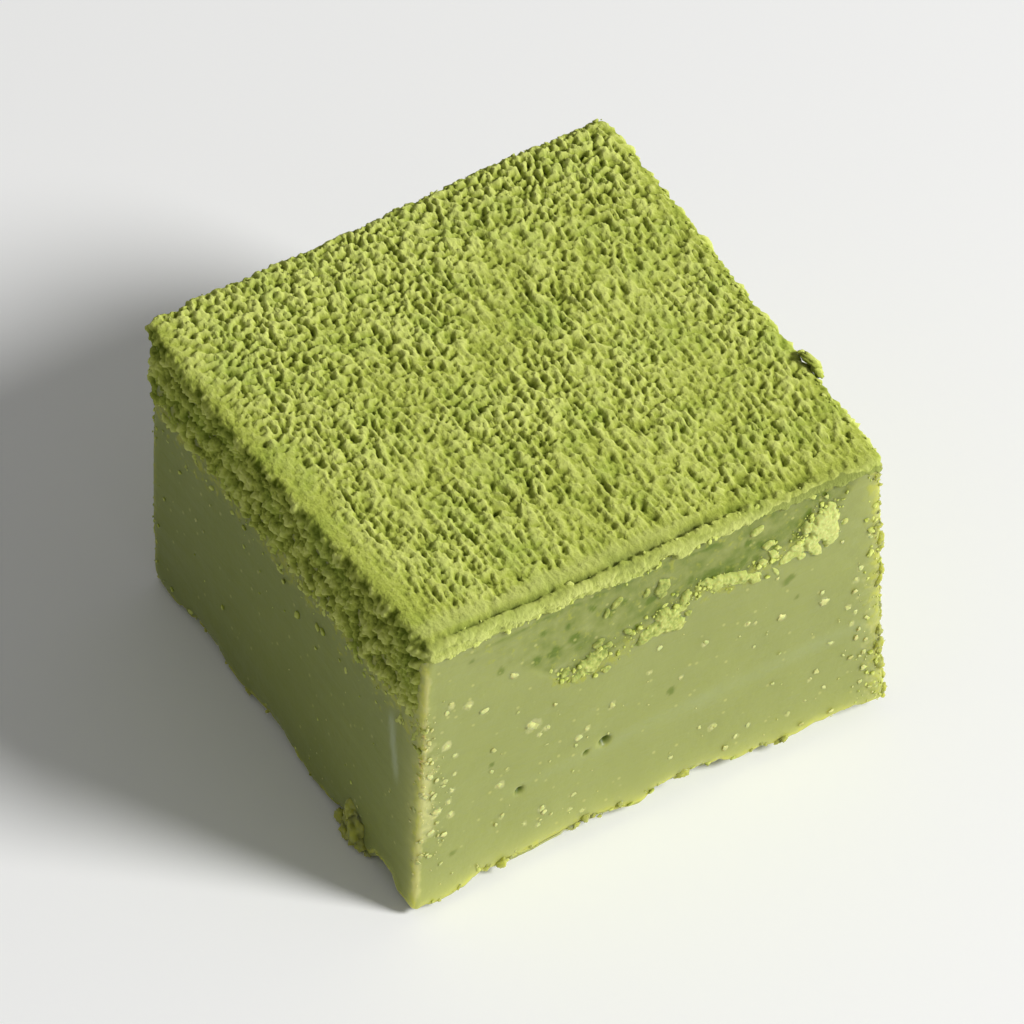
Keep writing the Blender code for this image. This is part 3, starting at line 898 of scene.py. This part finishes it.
def makeFlecks(ganacheSkin):
    # scales of fat, thin and ragged
    flecks = {"edge": 170, "rightEdge": 160, "face": 300, "small": 0.08, "large": 0.26,
              "flat": 0.15, "rough": 0.6, "sunk": 0.02,
              "named": 0.66}      # of the width of the pale spot round a named one
    skin, out, facing = ganacheSkin["skin"], ganacheSkin["out"], ganacheSkin["facing"]
    x, z, upright = skin[:, 0], skin[:, 2], ganacheSkin["upright"]
    onCut = (skin[:, 1] < -10.8) * upright
    leftEdge = nearTo(x, -11.0, 0.5) * onCut * smoothStep(1, 4, z) * smoothStep(13, 10, z)
    rightEdge = np.exp(x - 11.4) * onCut * (x > 8) * smoothStep(14, 11, z)
    ends = 0.5 + 1.2 * np.exp(-(x + 11) / 2.0) + 0.8 * np.exp(-(11 - x) / 1.5)
    face = upright * (z < 13) * np.where(facing > 0.5, ends, 0.2) * smoothStep(15, 2, z)
    where = [(skin, out, "edge", leftEdge, 71), (skin, out, "rightEdge", rightEdge, 75),
             (skin, out, "face", face, 72)]
    large = np.array(front["flecks"])
    named = np.column_stack([onFront(ganacheSkin, large[:, :2]), flecks["named"] * large[:, 2]])
    places, faces = looseBits(flecks, where, named, (0.0, -1.0, 0.0), (73, 74))[:2]
    makePiece("cream_flecks", places, faces, {}, creamFlakes)


def makeCrumbs(ganacheSkin):
    crumbs = {
        "foot": 60, "rightEdge": 45, "small": 0.18, "large": 0.6, "flat": 0.7, "rough": 0.5, "sunk": 0.1,
        # crumbs by name, at the left foot: x, y, z, width
        "named": ((-11.95, -6.7, 0.75, 1.3), (-11.85, -6.0, 0.6, 1.0), (-12.0, -7.3, 0.4, 0.8),
                  (-11.8, -6.3, 1.35, 0.8), (-11.9, -5.4, 0.3, 0.6), (-11.8, -6.9, 1.5, 0.5),
                  (-12.1, -6.4, 0.3, 0.8), (-11.9, -7.8, 0.25, 0.45)),
    }
    skin, out, upright = ganacheSkin["skin"], ganacheSkin["out"], ganacheSkin["upright"]
    nearFoot = np.exp(-ganacheSkin["overRim"] / 0.15) * upright
    rightEdge = nearTo(skin[:, 0], 11.7, 0.35) * (skin[:, 1] < -11.0) * upright * (skin[:, 2] < 15)
    where = [(skin, out, "foot", nearFoot, 81), (skin, out, "rightEdge", rightEdge, 84)]
    places, faces, shade = looseBits(crumbs, where, np.array(crumbs["named"]), (-1.0, 0.0, 0.0), (82, 83))
    # painted shade: darker, with more film, where a crumb faces the skin
    fields = {"shade": 0.5 - 0.3 * shade, "rubbed": 0.6 + 0 * shade}
    makePiece("ganache_crumbs", places, faces, fields, teaGanache)


def makeSmear():
    smeared = {
        "cell": 0.045, "sunk": 0.25,
        "from": (-4.8, 9.3), "to": (10.3, 14.7),     # the stretch of the front that it lies on, x and z
        # patches: x, z, half length, half height, turn in degrees, thickness
        "patches": ((-2.8, 10.6, 0.62, 0.48, 70, 0.2), (-2.5, 11.6, 0.32, 0.2, 30, 0.08),
                    (-3.7, 10.1, 0.3, 0.2, 0, 0.07), (-4.2, 10.65, 0.3, 0.18, 40, 0.07),
                    (-2.2, 9.85, 0.25, 0.18, 0, 0.1), (-1.05, 11.5, 0.34, 0.16, -40, 0.08),
                    (-0.25, 10.8, 0.6, 0.3, 30, 0.2), (0.35, 10.9, 0.4, 0.3, 0, 0.2),
                    (1.0, 11.15, 0.95, 0.55, -50, 0.26), (1.3, 10.7, 0.5, 0.35, 0, 0.2),
                    (1.8, 12.05, 0.44, 0.24, 60, 0.11), (1.95, 11.1, 0.2, 0.14, 0, 0.12),
                    (3.4, 12.1, 0.42, 0.28, 60, 0.2), (3.8, 12.1, 0.3, 0.2, 0, 0.16),
                    (4.2, 12.05, 0.34, 0.3, 0, 0.22), (4.7, 11.95, 0.4, 0.26, -30, 0.2),
                    (5.2, 11.55, 0.42, 0.26, -40, 0.2), (5.7, 12.25, 0.22, 0.14, 0, 0.1),
                    (6.0, 13.1, 0.3, 0.18, 0, 0.09), (6.25, 12.4, 0.36, 0.17, -50, 0.1),
                    (6.65, 11.8, 0.24, 0.17, 0, 0.12), (6.3, 11.45, 0.35, 0.12, -60, 0.1),
                    (7.4, 12.3, 0.36, 0.2, 10, 0.18), (7.6, 11.65, 0.25, 0.2, 0, 0.14),
                    (8.75, 12.9, 1.0, 0.82, 70, 0.36), (8.2, 12.3, 0.6, 0.42, 40, 0.34),
                    (8.3, 11.7, 0.55, 0.3, -70, 0.26), (9.1, 12.2, 0.7, 0.4, 80, 0.34),
                    (7.9, 13.1, 0.35, 0.22, 60, 0.25), (9.8, 12.6, 0.22, 0.15, 30, 0.1),
                    (-2.1, 13.2, 0.26, 0.14, 60, 0.06), (-1.6, 13.5, 0.34, 0.18, 40, 0.07),
                    (0.7, 13.2, 0.5, 0.34, 80, 0.11), (-0.1, 13.3, 0.28, 0.15, 60, 0.06),
                    (5.45, 14.2, 0.34, 0.16, 20, 0.06), (8.9, 14.6, 0.3, 0.1, -70, 0.08),
                    (4.2, 12.0, 1.5, 0.32, -18, 0.1), (0.6, 11.2, 1.5, 0.4, 25, 0.1),
                    (7.2, 11.95, 0.9, 0.3, 10, 0.08), (-2.9, 10.6, 1.1, 0.42, 30, 0.08)),
    }
    across, up = [np.arange(a, b, smeared["cell"]) for a, b in zip(smeared["from"], smeared["to"])]
    x, z = np.meshgrid(across, up, indexing="ij")
    place = np.stack([x.ravel(), 0 * x.ravel(), z.ravel()], 1)
    place[:, 1] = [blockTree.ray_cast(Vector((px, -20, pz)), Vector((0, 1, 0)))[0].y for px, _, pz in place]
    rough = 0.6 * softNoise(place, 0.45, 91) + 0.35 * softNoise(place, 0.2, 92)
    rough += 0.15 * softNoise(place, 0.1, 95)
    grains = 0.5 - grainNoise(place, 0.19, 93) ** 2 + 0.5 * softNoise(place, 0.12, 94)
    rise = np.full(len(place), -smeared["sunk"])
    for px, pz, length, height, turn, thick in smeared["patches"]:
        turn = math.radians(turn)
        along = (place[:, 0] - px) * math.cos(turn) + (place[:, 2] - pz) * math.sin(turn)
        over = (place[:, 2] - pz) * math.cos(turn) - (place[:, 0] - px) * math.sin(turn)
        inside = 1 - np.hypot(along / length, over / height) + 0.5 * rough
        raised = np.where(inside > 0, 0.55 * thick * smoothStep(-0.05, 0.4, inside), 1.2 * inside - 0.03)
        rise = np.maximum(rise, raised)
    rise += 0.035 * grains * smoothStep(-0.05, 0.08, rise)
    rise = np.maximum(rise, -smeared["sunk"])
    line = ledgeHeight(place)
    rise -= 0.5 * front["recess"] * smoothStep(line, line + 0.3, place[:, 2])
    place[:, 1] -= rise
    squares = squaresOf(np.arange(x.size).reshape(x.shape))
    squares = squares[rise[squares].max(1) > -0.2]
    used, squares = np.unique(squares, return_inverse=True)
    squares = squares.reshape(-1, 4)
    paler = smoothStep(0, 8, place[:, 0])
    shade = 0.15 + 0.3 * paler + 0.8 * rise + (0.35 - 0.2 * paler) * rough + (0.4 - 0.2 * paler) * grains
    shade = np.clip(shade, 0, 1)
    fields = {"height": shade[used]}
    makePiece("rubbed_smear", place[used], squares.tolist(), fields, rubbedTea)


# floor, light and camera

def makeStage():
    stage = {"floor": "fafaf9", "floorSize": 1.2, "sky": 0.25,
             "key": 5.3, "keySize": 0.22, "keyFrom": (0.55, -0.62, 0.62), "keyDistance": 0.7}
    material, tree = newMaterial("paleFloor")[:2]
    surface = addNode(tree, "ShaderNodeBsdfPrincipled",
                      inputs={"Base Color": toLinear(stage["floor"]), "Roughness": 0.8})
    addNode(tree, "ShaderNodeOutputMaterial", links={"Surface": surface.outputs[0]})
    bpy.ops.mesh.primitive_plane_add(size=stage["floorSize"], location=(0, 0, cadLow[2] - 0.02 * mm))
    floor = bpy.context.object
    floor.name = "floor"
    floor.data.materials.append(material)
    world = bpy.data.worlds.new("softRoom")
    bpy.context.scene.world = world
    world.use_nodes = True
    world.node_tree.nodes["Background"].inputs["Color"].default_value = (1, 1, 1, 1)
    world.node_tree.nodes["Background"].inputs["Strength"].default_value = stage["sky"]
    light = bpy.data.lights.new("windowLight", "AREA")
    light.shape = "DISK"
    light.size = stage["keySize"]
    light.energy = stage["key"]
    lamp = bpy.data.objects.new("windowLight", light)
    towards = Vector(stage["keyFrom"]).normalized()
    lamp.location = towards * stage["keyDistance"]
    lamp.rotation_mode = "QUATERNION"
    lamp.rotation_quaternion = towards.to_track_quat("Z", "Y")
    bpy.context.scene.collection.objects.link(lamp)


def makeCamera():
    shot = {"azimuth": -31.8, "elevation": 46.8, "roll": 0.9, "distance": 0.863, "lens": 700}
    turn, rise = math.radians(shot["azimuth"]), math.radians(shot["elevation"])
    back = Vector((math.sin(turn) * math.cos(rise), -math.cos(turn) * math.cos(rise), math.sin(rise)))
    data = bpy.data.cameras.new("camera")
    data.lens = shot["lens"]
    data.clip_start = 0.05
    data.clip_end = 20
    camera = bpy.data.objects.new("camera", data)
    camera.location = (cadLow + cadHigh) / 2 + back * shot["distance"]
    camera.rotation_mode = "QUATERNION"
    level = back.to_track_quat("Z", "Y")
    camera.rotation_quaternion = level @ Quaternion((0, 0, 1), math.radians(shot["roll"]))
    bpy.context.scene.collection.objects.link(camera)
    bpy.context.scene.camera = camera


makeCamera()
makeStage()
bpy.context.scene.view_settings.view_transform = "Standard"
print("set up the camera, the floor and the light")
ganacheSkin = makeGanache()
coatSkin = makeTopCoat()
makeSideCoat()
makeClumps(ganacheSkin, coatSkin)
makeFlecks(ganacheSkin)
makeCrumbs(ganacheSkin)
makeSmear()
